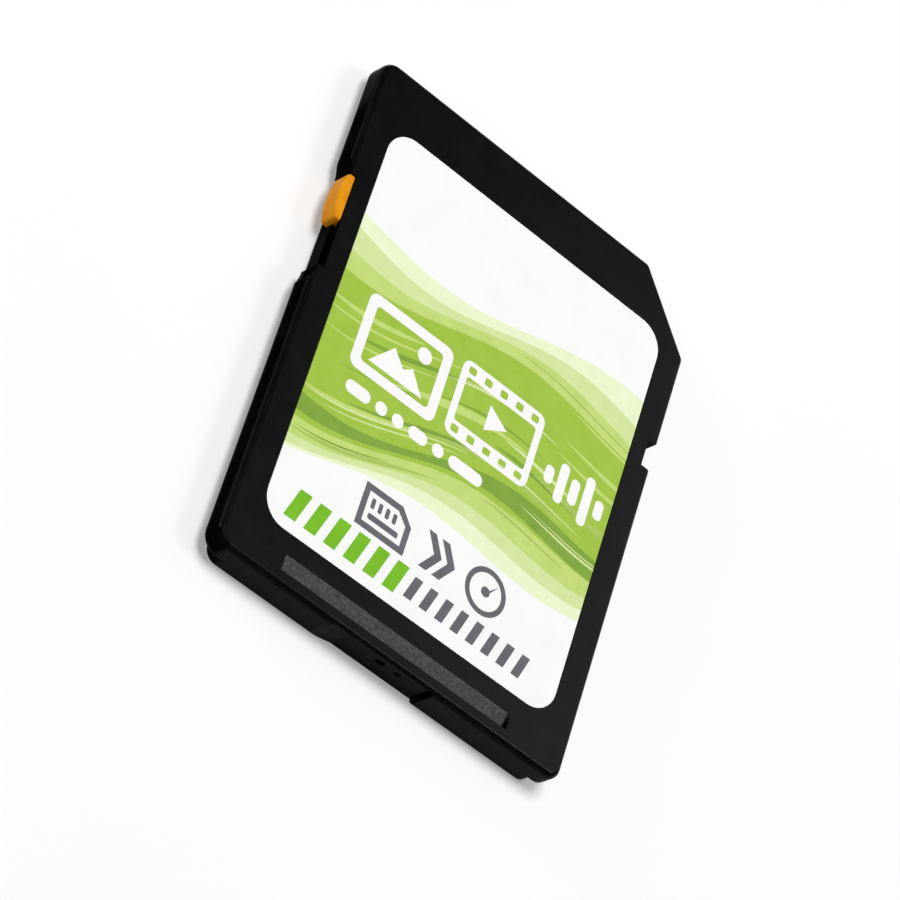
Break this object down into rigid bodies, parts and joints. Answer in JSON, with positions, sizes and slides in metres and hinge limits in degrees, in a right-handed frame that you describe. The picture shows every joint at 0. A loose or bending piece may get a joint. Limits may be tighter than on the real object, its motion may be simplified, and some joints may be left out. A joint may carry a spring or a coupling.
{
  "type": "sd memory card",
  "caption": "Flat rectangular memory card with one slanted corner, stepped side rails, a front label, edge contacts in windows on the back and a sliding write lock.",
  "frame": {"origin": "centre of the back face, which the card lies on", "axes": "+X to the side with the slanted corner, +Y to the contact end, +Z out of the label face"},
  "size_m": [0.024, 0.032, 0.0021],
  "materials": {
    "shell_plastic": "fine spark-eroded moulded texture, black",
    "label_film": "satin printed film, white with green bands",
    "lock_plastic": "satin moulded, orange",
    "board_laminate": "solder mask over glass laminate, dark green",
    "chip_resin": "moulded resin, black",
    "tinned_metal": "tin plate",
    "contact_gold": "gold plate",
    "capacitor_ceramic": "fired, tan",
    "resistor_ceramic": "glazed, black"
  },
  "bodies": {
    "card": {"front_shell": "shell_plastic", "back_shell": "shell_plastic", "front_label": "label_film", "circuit_board": "board_laminate", "memory_chip": "chip_resin", "memory_leads": "tinned_metal", "controller_chip": "chip_resin", "controller_terminals": "tinned_metal", "bulk_capacitor": "capacitor_ceramic", "contact_pad_1": "contact_gold", "contact_pad_2": "contact_gold", "contact_pad_3": "contact_gold", "contact_pad_4": "contact_gold", "contact_pad_5": "contact_gold", "contact_pad_6": "contact_gold", "contact_pad_7": "contact_gold", "contact_pad_8": "contact_gold", "contact_pad_9": "contact_gold", "supply_capacitor_1": "capacitor_ceramic", "supply_capacitor_2": "capacitor_ceramic", "supply_capacitor_3": "capacitor_ceramic", "supply_capacitor_4": "capacitor_ceramic", "pullup_resistor_1": "resistor_ceramic", "pullup_resistor_2": "resistor_ceramic", "pullup_resistor_3": "resistor_ceramic", "pullup_resistor_4": "resistor_ceramic", "pullup_resistor_5": "resistor_ceramic"},
    "lock": {"lock_slider": "lock_plastic"}
  },
  "joints": [
    {"name": "lock_slide", "type": "slide", "parent": "card", "child": "lock", "axis": [0, 1, 0], "range_m": [-0.00315, 0]}
  ]
}
